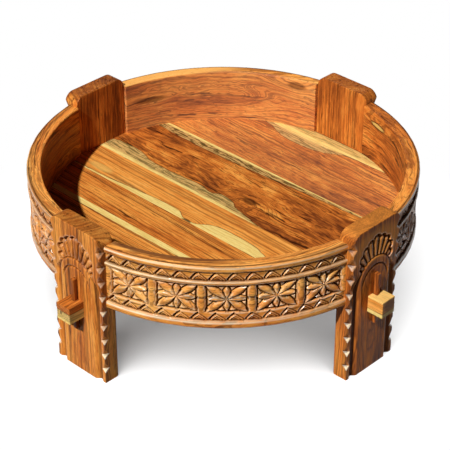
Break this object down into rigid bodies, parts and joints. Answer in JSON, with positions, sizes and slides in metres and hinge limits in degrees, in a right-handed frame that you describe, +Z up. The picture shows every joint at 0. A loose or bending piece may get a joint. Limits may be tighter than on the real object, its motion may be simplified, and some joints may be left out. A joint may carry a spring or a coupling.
{
  "type": "grinder table",
  "caption": "Low round table: a plank-floored tray inside a carved rim, on notched carved legs that wedge keys draw in on the tenons of crossed beams.",
  "frame": {"origin": "on the ground, under the middle of the tray", "axes": "+Z up, +X along the beam from the west leg to the east leg and along the floor planks, +Y to the north leg"},
  "size_m": [0.845, 0.845, 0.322],
  "materials": {
    "leg_wood": "polished oil",
    "rim_wood": "polished oil",
    "floor_wood": "polished oil",
    "beam_wood": "oiled",
    "key_wood": "oiled"
  },
  "bodies": {
    "table": {"leg_east": "leg_wood", "leg_north": "leg_wood", "leg_west": "leg_wood", "leg_south": "leg_wood", "rim_northeast": "rim_wood", "rim_northwest": "rim_wood", "rim_southwest": "rim_wood", "rim_southeast": "rim_wood", "beam_east_west": "beam_wood", "beam_north_south": "beam_wood", "floor_plank_1": "floor_wood", "floor_plank_2": "floor_wood", "floor_plank_3": "floor_wood", "floor_plank_4": "floor_wood", "floor_plank_5": "floor_wood", "floor_plank_6": "floor_wood", "floor_plank_7": "floor_wood"},
    "key_east": {"wedge_key_east": "key_wood"},
    "key_north": {"wedge_key_north": "key_wood"},
    "key_west": {"wedge_key_west": "key_wood"},
    "key_south": {"wedge_key_south": "key_wood"}
  },
  "joints": [
    {"name": "key_lift_east", "type": "slide", "parent": "table", "child": "key_east", "axis": [0, 0, 1], "range_m": [0, 0.07]},
    {"name": "key_lift_north", "type": "slide", "parent": "table", "child": "key_north", "axis": [0, 0, 1], "range_m": [0, 0.07]},
    {"name": "key_lift_west", "type": "slide", "parent": "table", "child": "key_west", "axis": [0, 0, 1], "range_m": [0, 0.07]},
    {"name": "key_lift_south", "type": "slide", "parent": "table", "child": "key_south", "axis": [0, 0, 1], "range_m": [0, 0.07]}
  ]
}
